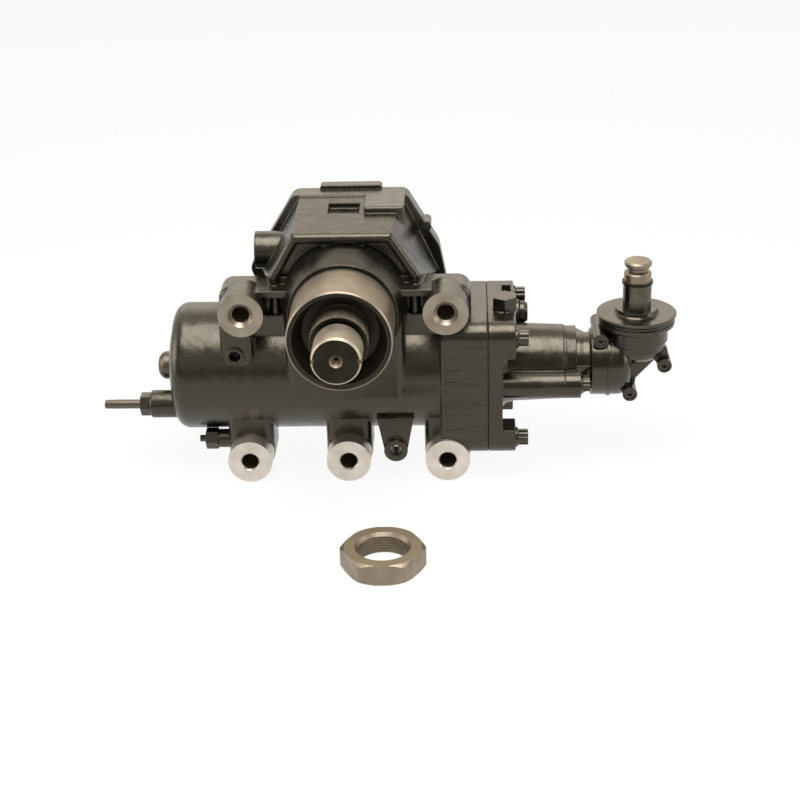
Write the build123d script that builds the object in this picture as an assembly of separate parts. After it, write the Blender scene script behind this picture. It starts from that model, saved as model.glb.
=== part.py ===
from build123d import *
import os
from math import acos, atan, atan2, cos, pi, radians, sin, sqrt, tan

# Heavy truck power steering gear with a right angle input drive, in millimetres.
# The origin is on the output shaft's axis, in the plane of the five mounting faces.
# X runs along the piston, Y runs into the gear from its mounting side, Z is up.

# Fits
running_gap = 0.05        # radial, between a shaft or piston and its bore
lip_gap = 0.3             # radial, round a shaft where a seal lip or a free part stands
face_gap = 0.3            # axial, between parts that turn past each other

# Sector and rack
gear_module = 11.0
sector_circle_teeth = 8   # teeth a full circle would hold; the sector has three of them
sector_teeth = 3
pressure_angle = 25.0
sector_addendum = 9.0
rack_addendum = 7.0
tooth_tip_gap = 1.5
tooth_flank_gap = 0.25
tooth_width = 60.0
rack_pitch_height = 40.5  # pitch line above the piston's axis

# Piston and ball screw
piston_radius = 54.0
piston_left = -135.0
piston_right = 70.0
worm_depth = 75.0         # the piston's axis lies this far behind the mounting plane
ball_radius = 4.5
ball_circle_radius = 20.5
worm_core_radius = 15.9
ball_turns = 3
balls_per_turn = 3
screw_lead = 13.5
ring_width = 6.0
ring_depth = 4.0

# Housing
cylinder_wall = 14.0
cylinder_left = -186.0
end_corner = 14.0         # rounding of the closed end's rim
dome_rise = 8.0
end_wall = 12.0
block_left = 98.0
block_right = 148.0
block_half_width = 72.0
block_half_height = 74.0
block_drop = 3.5          # the valve flange hangs this far below the piston's axis
block_corner = 17.0
cast_rounding = 6.0       # usual rounding of the casting's front edges
joint_rounding = 1.5      # small rounding where two castings meet
boss_spacing = 210.0
boss_row_height = 168.0
upper_boss_height = 3.0
boss_radius = 23.5
boss_hole_radius = 8.75   # tapping size of the M20 thread
boss_hole_depth = 42.0
upper_hole_mouth = 13.0
lower_hole_mouth = 10.5
shoulder_set_back = 31.0
shoulder_depth = 33.0
shoulder_top = 22.0
shoulder_height = 65.0
ledge_front = 18.5
ledge_thickness = 7.0
saddle_half_width = 62.0
saddle_height = 95.0
saddle_front = 6.0
neck_set_back = 20.0
neck_depth = 43.0
neck_rounding = 9.0
neck_overhang = 1.0

# Output shaft, from the mounting plane
spigot_radius = 53.5
spigot_length = 62.6
spigot_mouth_radius = 51.5
spigot_throat_radius = 42.0
spigot_relief_depth = 2.5
sector_boss_root_radius = 57.0
sector_boss_radius = 65.0
sector_boss_depth = 30.0
journal_radius = 30.0
bearing_section = 7.0
dust_seal_thickness = 3.0
shaft_thread_radius = 25.0
shaft_end = 110.5
thread_length = 38.5
serration_length = 34.0
serration_count = 60
serration_depth = 1.2

# Side chamber and cover
chamber_radius = 58.0
cover_set_back = 68.0     # from the piston's axis
cover_thickness = 12.0
ridge_outline = [(-49, 71.5), (47, 71.5), (73.5, 30), (72, -34), (-72, -34), (-73, 30)]
chamber_back_outline = [(-50, 89), (60, 89), (100, -3), (80, -62), (-74, -62), (-100, 8)]
cover_outline = [(-58, 89), (64, 89), (98, 30), (106, -14), (84, -66), (-78, -66), (-108, 8)]
cover_corner = 12.0
flange_depth = 17.0
ridge_plane = 34.0
ridge_radius = 5.5
ridge_pocket_depth = 13.0
cover_bolt_inset = 14.0
cover_bolt_radius = 6.0
cover_bolt_head = 7.5
cover_bolt_reach = 15.0

# Valve end
cover_end = 177.0
cover_plate_end = 163.0   # the cover is this thin between its bolt pads
tube_end = 229.0
tube_radius = 42.0
tube_end_radius = 40.0
register_left = 108.5
valve_bolt_y = 60.0
valve_bolt_z = 57.0
valve_bolt_radius = 6.0
valve_bolt_head = 8.5
valve_bore_radius = 27.0
stub_radius = 15.0
stub_bearing_section = 9.0
column_radius = 14.0
column_offset = 48.0
column_drop = 6.0

# Right angle drive
input_x = 306.0
bevel_teeth = 16
bevel_pitch_radius = 24.0
bevel_face = 10.0
bevel_module = 3.0
bevel_backlash = 0.12
bevel_hub_radius = 19.0
barrel_radius = 36.0
drive_bore_radius = 30.0
cup_radius = 34.0
cup_wall = 2.8
pinion_bore_radius = 29.2
input_radius = 15.0
input_tip_radius = 14.3
input_top = 30.0
dust_cover_radius = 42.0
dust_cover_top = -27.5

# Loose nut
nut_across_flats = 75.0
nut_thickness = 22.0
nut_x = 43.0
nut_y = -174.0

# Sizes that follow from the ones above
bearing_outer_radius = journal_radius + bearing_section
sector_pitch_radius = gear_module * sector_circle_teeth / 2
worm_height = -(sector_pitch_radius + rack_pitch_height)
tooth_pitch = pi * gear_module
bore_radius = piston_radius + running_gap
cylinder_radius = piston_radius + cylinder_wall
tooth_front = worm_depth - tooth_width / 2
tooth_back = worm_depth + tooth_width / 2
chamber_front = tooth_front - 5
cover_plane = worm_depth + cover_set_back
lower_boss_height = upper_boss_height - boss_row_height
boss_x = boss_spacing / 2
ball_bore_radius = ball_circle_radius + ball_radius + running_gap
block_height = worm_height - block_drop
block_top = block_height + block_half_height
floor_height = lower_boss_height - boss_radius - neck_overhang


def x_line(y, z):
    """An axis along X through (y, z): distances on it are X."""
    return Plane(origin=(0, y, z), x_dir=(0, 1, 0), z_dir=(1, 0, 0))


def y_line(x, z):
    """An axis along Y through (x, z): distances on it are Y."""
    return Plane(origin=(x, 0, z), x_dir=(1, 0, 0), z_dir=(0, 1, 0))


def z_line(x, y):
    """An axis along Z through (x, y): distances on it are Z."""
    return Plane(origin=(x, y, 0))


sector_line = y_line(0, 0)
worm_line = x_line(worm_depth, worm_height)
input_line = z_line(input_x, worm_depth)


def rod(radius, start, end, line):
    """A plain cylinder between two distances on an axis."""
    base = Pos(0, 0, start) * Circle(radius)
    return extrude(line * base, end - start, dir=line.z_dir)


def ring(inner, outer, start, end, line):
    """A plain ring between two distances on an axis."""
    base = Pos(0, 0, start) * (Circle(outer) - Circle(inner))
    return extrude(line * base, end - start, dir=line.z_dir)


def turned(profile, line):
    """A turned solid from its (distance, radius) corners."""
    corners = [(radius, distance) for distance, radius in profile]
    first, last = profile[0][0], profile[-1][0]
    outline = Polygon((0, first), *corners, (0, last), align=None)
    return line * revolve(Plane.XZ * outline, Axis.Z)


def barrel(radius, start, end, corner, line):
    """A cylinder whose far edge is rounded."""
    bend = corner * (1 - cos(radians(45)))
    outline = Polyline((radius - corner, end), (0, end), (0, start), (radius, start), (radius, end - corner))
    outline += ThreePointArc((radius, end - corner), (radius - bend, end - bend), (radius - corner, end))
    return line * revolve(Plane.XZ * make_face(outline), Axis.Z)


def prism(sketch, start, end, line):
    """A flat outline drawn out between two distances on an axis."""
    return extrude(line * (Pos(0, 0, start) * sketch), end - start, dir=line.z_dir)


def slab(sketch, front, back):
    """An outline seen from the mounting side, in X and Z, drawn out from front to back in Y."""
    return extrude(Plane.XZ.offset(-back) * sketch, back - front, dir=(0, -1, 0))


def soft_slab(sketch, front, back, rounding):
    """A slab with the rounded front edges of a casting."""
    block = slab(sketch, front, back)
    return fillet(block.edges().group_by(Axis.Y)[0], rounding)


def hexagon(across_flats):
    return RegularPolygon(across_flats / 2, 6, major_radius=False)


def lobed_bolt(shank_radius, head_radius, head_height, reach, face, line):
    """A flanged bolt with a six lobed head: its flange seats at the distance face, its shank reaches back."""
    flange_height = head_height / 4
    star = Circle(head_radius)
    for number in range(6):
        star -= Rot(0, 0, 60 * number + 30) * (Pos(head_radius * 1.1, 0) * Circle(head_radius * 0.32))
    bolt = rod(shank_radius, face - reach, face, line)
    bolt += turned([(face, head_radius * 1.25), (face + flange_height / 2, head_radius * 1.25),
                    (face + flange_height, head_radius)], line)
    bolt += prism(star, face + flange_height, face + head_height, line)
    return bolt - rod(head_radius * 0.45, face + head_height - 2, face + head_height, line)


def involute(angle):
    return tan(angle) - angle


def outline_sketch(points, corner):
    return fillet(Polygon(*points, align=None).vertices(), corner)


def cover_bolt_places():
    """The cover's bolts stand at the corners of its outline, set in from the edge."""
    inset = offset(Polygon(*cover_outline, align=None), -cover_bolt_inset, kind=Kind.INTERSECTION)
    return [(corner.X, corner.Y) for corner in inset.vertices()]


valve_bolt_places = [
    (worm_depth + side * valve_bolt_y, block_height + level * valve_bolt_z)
    for side in (-1, 1) for level in (-1, 1)
]
boss_places = [(x, upper_boss_height, upper_hole_mouth) for x in (-boss_x, boss_x)]
boss_places += [(x, lower_boss_height, lower_hole_mouth) for x in (-boss_x, 0, boss_x)]

nodes = {}

# Places along the output shaft
front_seal_front = -28.0
dust_seal_front = -36.0
dust_seal_back = -31.0
front_bearing_front = -16.0
front_bearing_back = 36.0
rear_bearing_length = 28.0
ring_groove_depth = 1.5
snap_ring_thickness = 2.2
snap_ring_reach = 3.0
snap_ring_gap = 10.0
cover_rounding = 3.0
shaft_back = cover_plane - 3.0
hub_face = tooth_back + 5.0
hub_bore_back = cover_plane - 2.0
register_front = cover_plane - 12.0
cover_face = cover_plane + cover_thickness
adjuster_radius = 8.0
adjuster_head_radius = 11.5
adjuster_head_front = shaft_back - 12.0
adjuster_head_back = adjuster_head_front + 5.0
adjuster_end = cover_face + 31.0
centre_boss_back = cover_face + 11.0

# Places along the piston's axis
bore_left = cylinder_left + end_wall
limiter_y = worm_depth - 23
limiter_z = -120.0
limiter_boss_end = -216.0
limiter_boss_radius = 15.0
limiter_nut_end = limiter_boss_end - 9.5
limiter_end = -265.0
limiter_radius = 5.0
limiter_tip = bore_left + 0.6
end_plug_radius = 15.0
worm_left = -66.0
worm_journal_left = register_left + 2.0
worm_journal_right = worm_journal_left + 20.0
sleeve_right = worm_journal_right + 46.0
stub_bearing_radius = stub_radius + stub_bearing_section
stub_bearing_left = 206.0
stub_bearing_right = 222.0
worm_journal_radius = 20.0
worm_bearing_radius = 36.0

# Places in the right angle drive
drive_end = 300.0
drive_flange_end = tube_end + 13
neck_end = tube_end + 27
rear_bearing_left = tube_end + 15
rear_bearing_right = tube_end + 26
rear_bearing_radius = drive_bore_radius - 3
apex = (input_x, worm_depth, worm_height)
gear_plane = input_x - bevel_pitch_radius
pinion_plane = worm_height + bevel_pitch_radius
pinion_back = pinion_plane + 5.0
input_bearing_top = pinion_back + 12.5
vertical_barrel_top = -41.5
top_cover_top = -32.0


# Lug with a plain hole, between the second and third lower bosses
lug_x = 50.0
lug_z = -157.0
lug_radius = 12.5
lug_front = 8.0
lug_step = 5.0
lug_depth = 24.0
lug_hole_radius = 6.5

# Tapped boss under the left upper boss, on a rounded pad
tapped_boss_x = -115.0
tapped_boss_z = -47.0
tapped_boss_radius = 9.5
tapped_boss_front = 10.0
tapped_hole_radius = 6.0
tapped_hole_depth = 14.0
tapped_pad_half_width = 17.0
tapped_pad_front = 12.0

# Bleed screw on the left lower neck
bleed_y = worm_depth - 39
bleed_z = -154.0
bleed_face = -142.0
bleed_boss_radius = 10.0
bleed_thread_radius = 5.0
bleed_hole_depth = 12.0

# Round boss on the chamber's left, and the bolt boss on its right
chamber_boss_radius = 20.0
chamber_boss_end = -97.0
chamber_boss_y = worm_depth + 25
chamber_boss_z = 37.5
flange_boss_place = (84, 55)
flange_boss_radius = 5.5
flange_boss_lead = 8.0

# Pad and recess in the chamber's top wall
top_wall_pad_front = cover_plane - 59
recess_front = cover_plane - 58
recess_length = 25.0

# Hollow under each shoulder's ledge
hollow_x = 75.0
hollow_depth = 11.0


def cylinder_shell():
    """The cylinder and its domed closed end."""
    flat = cylinder_radius - end_corner
    bend = end_corner * (1 - cos(radians(45)))
    outline = Line((0, cylinder_left - dome_rise), (0, block_left + 1))
    outline += Line((0, block_left + 1), (cylinder_radius, block_left + 1))
    outline += Line((cylinder_radius, block_left + 1), (cylinder_radius, cylinder_left + end_corner))
    outline += ThreePointArc((cylinder_radius, cylinder_left + end_corner),
                             (cylinder_radius - bend, cylinder_left + bend), (flat, cylinder_left))
    outline += ThreePointArc((flat, cylinder_left), (flat / 2, cylinder_left - dome_rise * 0.75),
                             (0, cylinder_left - dome_rise))
    return worm_line * revolve(Plane.XZ * make_face(outline), Axis.Z)


def valve_block():
    """The square block at the cylinder's open end, its rim rounded towards the cylinder."""
    outline = RectangleRounded(2 * block_half_width, 2 * block_half_height, block_corner)
    block = prism(outline, block_left, block_right, x_line(worm_depth, block_height))
    block = fillet(block.edges().group_by(Axis.X)[0], cast_rounding)
    return fillet(block.edges().group_by(Axis.X)[-1], joint_rounding)


def turn_angle(corner):
    return atan2(corner[1], corner[0])


def chamber_shell():
    """The side chamber: six sloping walls, a round ridge on the front one, and the cover's flange."""
    ridge_middle = ridge_plane + ridge_radius
    grown = offset(Polygon(*ridge_outline, align=None), ridge_radius, kind=Kind.INTERSECTION)
    front_corners = sorted([(corner.X, corner.Y) for corner in grown.vertices()], key=turn_angle)
    back_corners = sorted(chamber_back_outline, key=turn_angle)
    front = Plane.XZ.offset(-ridge_middle) * Polygon(*front_corners, align=None)
    back = Plane.XZ.offset(-(cover_plane - joint_rounding)) * Polygon(*back_corners, align=None)
    shell = loft([front.face(), back.face()], ruled=True)
    shell += slab(outline_sketch(cover_outline, cover_corner), cover_plane - flange_depth, cover_plane)
    shell += rod(flange_boss_radius, cover_plane - flange_depth - flange_boss_lead, cover_plane - 1,
                 y_line(*flange_boss_place))

    upper = ridge_outline[4:] + ridge_outline[:4]
    path = Polyline(*[(x, ridge_middle, z) for x, z in upper])
    ridge_circle = Plane(origin=path @ 0, z_dir=path % 0) * Circle(ridge_radius)
    shell += sweep(ridge_circle, path=path, transition=Transition.ROUND)
    shell += rod(chamber_boss_radius, chamber_boss_end, -60, x_line(chamber_boss_y, chamber_boss_z))
    pad = Pos(41, 79) * Rectangle(42, 20)
    return shell + soft_slab(pad, top_wall_pad_front, cover_plane - 1, cover_rounding)


def chamber_pockets():
    """The pocket in the chamber's top wall, and the channel between the ridge and the round boss."""
    channel = offset(Polygon(*ridge_outline, align=None), -0.8 * ridge_radius, kind=Kind.INTERSECTION)
    channel -= Pos(0, -20) * Rectangle(300, 100)
    channel -= Pos(0, 60) * Rectangle(44, 60)
    channel -= Circle(sector_boss_radius + 1)
    pockets = slab(channel, ridge_plane - 1, ridge_plane + ridge_pocket_depth)
    recess = Pos(-1.5, 90) * RectangleRounded(33, 22, 3)
    return pockets + slab(recess, recess_front, recess_front + recess_length)


def shoulders():
    """The two arms that carry the upper bosses: a ledge on top, and a hollow below it."""
    arms = []
    for side in (-1, 1):
        outline = RectangleRounded(2 * boss_radius + 43, shoulder_height, 14)
        place = Pos(side * (boss_x - 19), shoulder_top - shoulder_height / 2)
        arm = soft_slab(place * outline, shoulder_set_back, shoulder_set_back + shoulder_depth, cast_rounding)
        ledge = Pos(side * 82, shoulder_top - ledge_thickness / 2) * Rectangle(48, ledge_thickness)
        arm += slab(ledge, ledge_front, shoulder_set_back + cast_rounding)
        hollow = Pos(side * hollow_x, shoulder_top - ledge_thickness - 13) * RectangleRounded(20, 24, 5)
        arm -= slab(hollow, shoulder_set_back - 1, shoulder_set_back + hollow_depth)
        arm += rod(boss_radius, 0, shoulder_set_back + 12, y_line(side * boss_x, upper_boss_height))
        arms.append(arm)
    return arms


def saddle():
    """The upright block that joins the shaft's round boss to the cylinder, its front corners rounded."""
    outline = Pos(0, -saddle_height / 2) * Rectangle(2 * saddle_half_width, saddle_height)
    block = slab(outline, saddle_front, worm_depth - 15)
    return fillet(block.edges().filter_by(Axis.Z).group_by(Axis.Y)[0], neck_rounding)


def lower_necks():
    """The three necks under the cylinder, each with its round boss."""
    half_width = boss_radius + neck_overhang
    necks = []
    for x in (-boss_x, 0, boss_x):
        outline = Pos(x, lower_boss_height) * Circle(half_width)
        outline += Pos(x, lower_boss_height + 40) * Rectangle(2 * half_width, 80)
        neck = soft_slab(outline, neck_set_back, neck_set_back + neck_depth, neck_rounding)
        boss_line = y_line(x, lower_boss_height)
        necks.append(neck + rod(boss_radius, 0, neck_set_back + neck_rounding + 1, boss_line))
    return necks


def small_bosses():
    """The lug, the tapped boss on its pad, and the two bosses of the closed end."""
    outline = Pos(lug_x, lug_z) * Circle(lug_radius)
    outline += Pos(lug_x, lug_z + 18) * Trapezoid(2 * lug_radius + 14, 36, 79, rotation=180)
    lug = slab(outline, lug_front + lug_step, lug_front + lug_depth)
    lug += rod(lug_radius, lug_front, lug_front + lug_depth, y_line(lug_x, lug_z))
    outline = RectangleRounded(2 * tapped_pad_half_width, 62, tapped_pad_half_width - 0.5)
    place = Pos(tapped_boss_x + 2, tapped_boss_z + 14)
    tapped = soft_slab(place * outline, tapped_pad_front, worm_depth - 25, cast_rounding)
    tapped += rod(tapped_boss_radius, tapped_boss_front, tapped_boss_front + tapped_hole_depth + 8,
                  y_line(tapped_boss_x, tapped_boss_z))
    limiter = turned([(limiter_boss_end, limiter_boss_radius - 3),
                      (limiter_boss_end + 3, limiter_boss_radius), (bore_left, limiter_boss_radius)],
                     x_line(limiter_y, limiter_z))
    return [lug, tapped, limiter, rod(bleed_boss_radius, bleed_face, -boss_x, x_line(bleed_y, bleed_z))]


def mouth_profile(step):
    """The spigot's conical mouth, from its front edge to its throat, shrunk by a step."""
    return [(-spigot_length, spigot_mouth_radius - step), (2 - spigot_length, spigot_mouth_radius - 1 - step),
            (dust_seal_front, spigot_throat_radius - step), (dust_seal_back, spigot_throat_radius - step)]


def housing():
    """The cast iron body: cylinder, side chamber, valve flange, five bosses and the spigot."""
    body = cylinder_shell() + valve_block() + chamber_shell()
    body += turned([(0, sector_boss_root_radius), (sector_boss_depth, sector_boss_radius),
                    (ridge_plane + ridge_pocket_depth + 4, sector_boss_radius)], sector_line)
    for piece in [saddle()] + shoulders() + lower_necks() + small_bosses():
        body += piece
    body += turned([(-spigot_length, spigot_radius - 1.5), (1.5 - spigot_length, spigot_radius),
                    (spigot_relief_depth + 1, spigot_radius)], sector_line)
    body -= chamber_pockets()

    # Bores along the two main axes
    body -= ring(spigot_radius - 1, sector_boss_root_radius - 1, 0, spigot_relief_depth, sector_line)
    body -= rod(bore_radius, bore_left, block_right, worm_line)
    body -= rod(chamber_radius, chamber_front, cover_plane, sector_line)
    body -= rod(bearing_outer_radius, -40, chamber_front, sector_line)
    body -= turned(mouth_profile(0), sector_line)
    body -= ring(bearing_outer_radius, bearing_outer_radius + ring_groove_depth,
                 front_seal_front - snap_ring_thickness - 0.2, front_seal_front, sector_line)

    # Tapped holes, plain at their tapping size
    for x, z, mouth in boss_places:
        chamfer = mouth - boss_hole_radius
        body -= turned([(0, mouth), (chamfer, boss_hole_radius), (boss_hole_depth, boss_hole_radius),
                        (boss_hole_depth + 4, 1)], y_line(x, z))
    for x, z in cover_bolt_places():
        body -= rod(cover_bolt_radius, cover_plane - cover_bolt_reach, cover_plane, y_line(x, z))
    for y, z in valve_bolt_places:
        body -= rod(valve_bolt_radius, block_left + 8, block_right, x_line(y, z))
    body -= rod(lug_hole_radius, lug_front, lug_front + lug_depth, y_line(lug_x, lug_z))
    body -= rod(tapped_hole_radius, tapped_boss_front, tapped_boss_front + tapped_hole_depth,
                y_line(tapped_boss_x, tapped_boss_z))
    body -= rod(limiter_radius, limiter_boss_end, bore_left, x_line(limiter_y, limiter_z))
    body -= rod(end_plug_radius - 2, cylinder_left - dome_rise - 2, bore_left, worm_line)
    body -= rod(bleed_thread_radius, bleed_face, bleed_face + bleed_hole_depth, x_line(bleed_y, bleed_z))
    return body


nodes["housing"] = housing()


cover_step = 1.0
hub_wall = 5.0
centre_boss_radius = 20.0
cover_rib_length = 44.0
cover_rib_width = 7.0
cover_rib_height = 5.0
cover_groove_depth = 3.0
cover_groove_front = cover_plane - 10
cover_groove_back = cover_plane - 6


def side_cover():
    """The cast cover that closes the side chamber and carries the rear bearing."""
    outline = offset(outline_sketch(cover_outline, cover_corner), -cover_step)
    body = slab(outline, cover_plane, cover_face)
    body = fillet(body.edges().group_by(Axis.Y)[0], joint_rounding)
    body = fillet(body.edges().group_by(Axis.Y)[-1], cover_rounding)
    body += rod(chamber_radius - running_gap, register_front, cover_plane + joint_rounding, sector_line)
    body += rod(bearing_outer_radius + hub_wall, hub_face, register_front, sector_line)
    body += turned([(cover_face - 1, centre_boss_radius + 6), (centre_boss_back - 2, centre_boss_radius + 2),
                    (centre_boss_back, centre_boss_radius)], sector_line)
    pad = Pos(3.5, 84) * RectangleRounded(67, 18, 4)
    body += slab(pad, cover_plane + 2, cover_face + 3)
    for angle in range(0, 360, 45):
        rib = Rectangle(cover_rib_length, cover_rib_width)
        rib = Rot(0, 0, angle) * (Pos(centre_boss_radius - 2 + cover_rib_length / 2, 0) * rib)
        body += prism(rib, cover_face - 1, cover_face + cover_rib_height, sector_line)
    body -= rod(bearing_outer_radius, hub_face, hub_bore_back, sector_line)
    body -= rod(adjuster_radius, hub_face, centre_boss_back, sector_line)
    body -= ring(chamber_radius - cover_groove_depth, chamber_radius + 1,
                 cover_groove_front, cover_groove_back, sector_line)
    for x, z in cover_bolt_places():
        body -= rod(cover_bolt_radius, cover_plane, cover_face, y_line(x, z))
    return body


nodes["side_cover"] = side_cover()
nodes["side_cover_seal"] = ring(chamber_radius - cover_groove_depth, chamber_radius - running_gap,
                                cover_groove_front + 0.2, cover_groove_back - 0.2, sector_line)
nodes["side_cover_bolts"] = [
    lobed_bolt(cover_bolt_radius, cover_bolt_head, 10, cover_thickness + cover_bolt_reach - 2, cover_face,
               y_line(x, z))
    for x, z in cover_bolt_places()
]


def adjusting_screw():
    """The screw that sets the sector's mesh: its flat head turns in a pocket in the shaft's end."""
    screw = rod(adjuster_head_radius, adjuster_head_front, adjuster_head_back, sector_line)
    screw += rod(adjuster_radius, adjuster_head_back, adjuster_end, sector_line)
    return screw - prism(hexagon(8), adjuster_end - 8, adjuster_end, sector_line)


nodes["adjusting_screw"] = adjusting_screw()
nodes["adjusting_locknut"] = prism(hexagon(24) - Circle(adjuster_radius),
                                   centre_boss_back, centre_boss_back + 10, sector_line)


def sector_outline():
    """Three involute teeth below the shaft's hub, in X and Z."""
    angle = radians(pressure_angle)
    base = sector_pitch_radius * cos(angle)
    tip = sector_pitch_radius + sector_addendum
    root = sector_pitch_radius - rack_addendum - tooth_tip_gap
    half_at_pitch = pi / (2 * sector_circle_teeth) + involute(angle)

    def half_angle(radius):
        return half_at_pitch - involute(acos(base / max(radius, base)))

    points = []
    first = -(sector_teeth - 1) / 2
    for number in range(sector_teeth):
        centre = 2 * pi * (first + number) / sector_circle_teeth - pi / 2
        levels = [root - 3, base] + [base + (tip - base) * step / 5 for step in range(1, 6)]
        points += [(r * cos(centre - half_angle(r)), r * sin(centre - half_angle(r))) for r in levels]
        points += [(r * cos(centre + half_angle(r)), r * sin(centre + half_angle(r)))
                   for r in reversed(levels)]
    return Polygon(*points, align=None) + Circle(root)


def serration_outline(outer, depth, count):
    points = []
    for number in range(count):
        for share, radius in ((0.0, outer - depth), (0.35, outer), (0.65, outer)):
            turn = 2 * pi * (number + share) / count
            points.append((radius * cos(turn), radius * sin(turn)))
    return Polygon(*points, align=None)


def sector_shaft():
    """The output shaft: thread and serrations in front, toothed sector, and a journal at each end."""
    serration_front = thread_length - shaft_end + 1.5
    serration_back = serration_front + serration_length
    shaft = turned([(-shaft_end, shaft_thread_radius - 2), (2 - shaft_end, shaft_thread_radius),
                    (thread_length - shaft_end - 3, shaft_thread_radius),
                    (thread_length - shaft_end - 3, shaft_thread_radius - 1.5),
                    (serration_front, shaft_thread_radius - 1.5),
                    (serration_front, shaft_thread_radius + 2),
                    (serration_back - 2, shaft_thread_radius + 2), (serration_back, journal_radius - 1),
                    (serration_back + 1.5, journal_radius),
                    (shaft_back - 2, journal_radius), (shaft_back, journal_radius - 2)], sector_line)
    teeth = serration_outline(journal_radius - 0.3, serration_depth, serration_count)
    shaft += prism(teeth, serration_front + 1, serration_back - 2, sector_line)
    shaft += slab(sector_outline(), tooth_front, tooth_back)
    shaft -= turned([(-shaft_end, 6.5), (7 - shaft_end, 2), (18 - shaft_end, 2), (19 - shaft_end, 0.5)],
                    sector_line)
    shaft -= rod(adjuster_head_radius + 0.5, adjuster_head_front - face_gap, shaft_back, sector_line)
    for side in (-1, 1):
        slot = Pos(side * shaft_thread_radius, 0) * Rectangle(7, 5)
        shaft -= slab(slot, -shaft_end, 6 - shaft_end)
    return shaft


nodes["sector_shaft"] = sector_shaft()
nodes["adjuster_retainer"] = ring(adjuster_radius + 0.5, adjuster_head_radius + 0.5,
                                  adjuster_head_back + face_gap, shaft_back - 1, sector_line)
nodes["front_sector_bearing"] = ring(journal_radius + running_gap, bearing_outer_radius,
                                     front_bearing_front, front_bearing_back, sector_line)
nodes["rear_sector_bearing"] = ring(journal_radius + running_gap, bearing_outer_radius,
                                    hub_face + 1, hub_face + 1 + rear_bearing_length, sector_line)
nodes["sector_shaft_seal"] = ring(journal_radius + lip_gap, bearing_outer_radius,
                                  front_seal_front, front_bearing_front, sector_line)


def seal_snap_ring():
    """The open spring ring in its groove, which keeps the shaft seal in its bore."""
    snap_ring = ring(bearing_outer_radius - snap_ring_reach, bearing_outer_radius + ring_groove_depth,
                     front_seal_front - snap_ring_thickness, front_seal_front, sector_line)
    ends = Pos(0, -bearing_outer_radius) * Rectangle(snap_ring_gap, 4 * snap_ring_reach)
    return snap_ring - slab(ends, front_seal_front - snap_ring_thickness - 1, front_seal_front + 1)


nodes["seal_snap_ring"] = seal_snap_ring()


def sector_dust_seal():
    """The dished rubber dust seal that lines the spigot's conical mouth and wipes the shaft."""
    seal = turned(mouth_profile(0)[1:], sector_line)
    dish = mouth_profile(dust_seal_thickness)[1:3]
    lip = journal_radius + lip_gap
    return seal - turned(dish + [(dust_seal_front + 1, lip), (dust_seal_back, lip)], sector_line)


nodes["sector_dust_seal"] = sector_dust_seal()


def rack_piston():
    """The power piston: ball nut bore, four rack teeth on top, and a groove for its seal ring."""
    body = turned([(piston_left, piston_radius - 2), (piston_left + 2, piston_radius),
                   (piston_right - 2, piston_radius), (piston_right, piston_radius - 2)], worm_line)
    tip_height = worm_height + rack_pitch_height + rack_addendum
    flat_left = -80.0
    flat = Pos((flat_left + piston_right) / 2, tip_height + 10) * Rectangle(piston_right - flat_left, 20)
    body -= slab(flat, 0, 2 * worm_depth)
    slope = tan(radians(pressure_angle))
    low = -(sector_addendum + tooth_tip_gap)
    half_low = tooth_pitch / 4 + tooth_flank_gap + low * slope
    half_high = tooth_pitch / 4 + tooth_flank_gap + rack_addendum * slope
    pitch_height = worm_height + rack_pitch_height
    for number in range(sector_teeth):
        centre = (number - (sector_teeth - 1) / 2) * tooth_pitch
        space = Polygon((centre - half_low, pitch_height + low), (centre + half_low, pitch_height + low),
                        (centre + half_high, tip_height), (centre + half_high, tip_height + 1),
                        (centre - half_high, tip_height + 1), (centre - half_high, tip_height), align=None)
        body -= slab(space, 0, 2 * worm_depth)
    body -= rod(ball_bore_radius, worm_left, piston_right, worm_line)
    body -= rod(ball_bore_radius - 5, worm_left - 40, worm_left, worm_line)
    body -= ring(piston_radius - ring_depth, piston_radius + 1, ring_left, ring_left + ring_width, worm_line)
    for start, end in poppet_bores:
        body -= rod(limiter_radius, start, end, x_line(limiter_y, limiter_z))
    pocket = Pos(0, -piston_radius) * Rectangle(16, 2 * return_depth)
    body -= prism(pocket, -return_length / 2, return_length / 2, worm_line)
    for x in (-return_leg, return_leg):
        leg_line = z_line(x, worm_depth)
        body -= rod(ball_radius + 1, worm_height - piston_radius + return_depth - 1,
                    worm_height - ball_bore_radius + 1, leg_line)
    return body


ring_left = piston_left + 10
return_length = 56.0
return_depth = 18.0
return_leg = 20.0
poppet_reach = 30.0
poppet_bores = [(piston_left, piston_left + poppet_reach), (piston_right - poppet_reach, piston_right)]
nodes["rack_piston"] = rack_piston()
nodes["piston_ring"] = ring(piston_radius - ring_depth, piston_radius + running_gap / 2,
                            ring_left, ring_left + ring_width, worm_line)
nodes["limiter_poppets"] = [
    rod(limiter_radius, piston_left - 3, piston_left + poppet_reach, x_line(limiter_y, limiter_z)),
    rod(limiter_radius, piston_right - poppet_reach, piston_right + 3, x_line(limiter_y, limiter_z)),
]


def ball_return_guide():
    """The tube that carries the balls back outside the nut, lying in its pocket."""
    low = -(piston_radius - 10)
    high = -(ball_bore_radius + 1)
    path = FilletPolyline((-return_leg, high), (-return_leg, low), (return_leg, low), (return_leg, high),
                          radius=7)
    tube = sweep(Plane(origin=(-return_leg, high, 0), z_dir=(0, -1, 0)) * Circle(ball_radius + 1), path)
    return Pos(0, worm_depth, worm_height) * (Rot(90, 0, 0) * tube)


nodes["ball_return_guide"] = ball_return_guide()
nodes["ball_return_clip"] = prism(Pos(0, -piston_radius + 3) * Rectangle(16, 3), -11, 11, worm_line)


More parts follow.
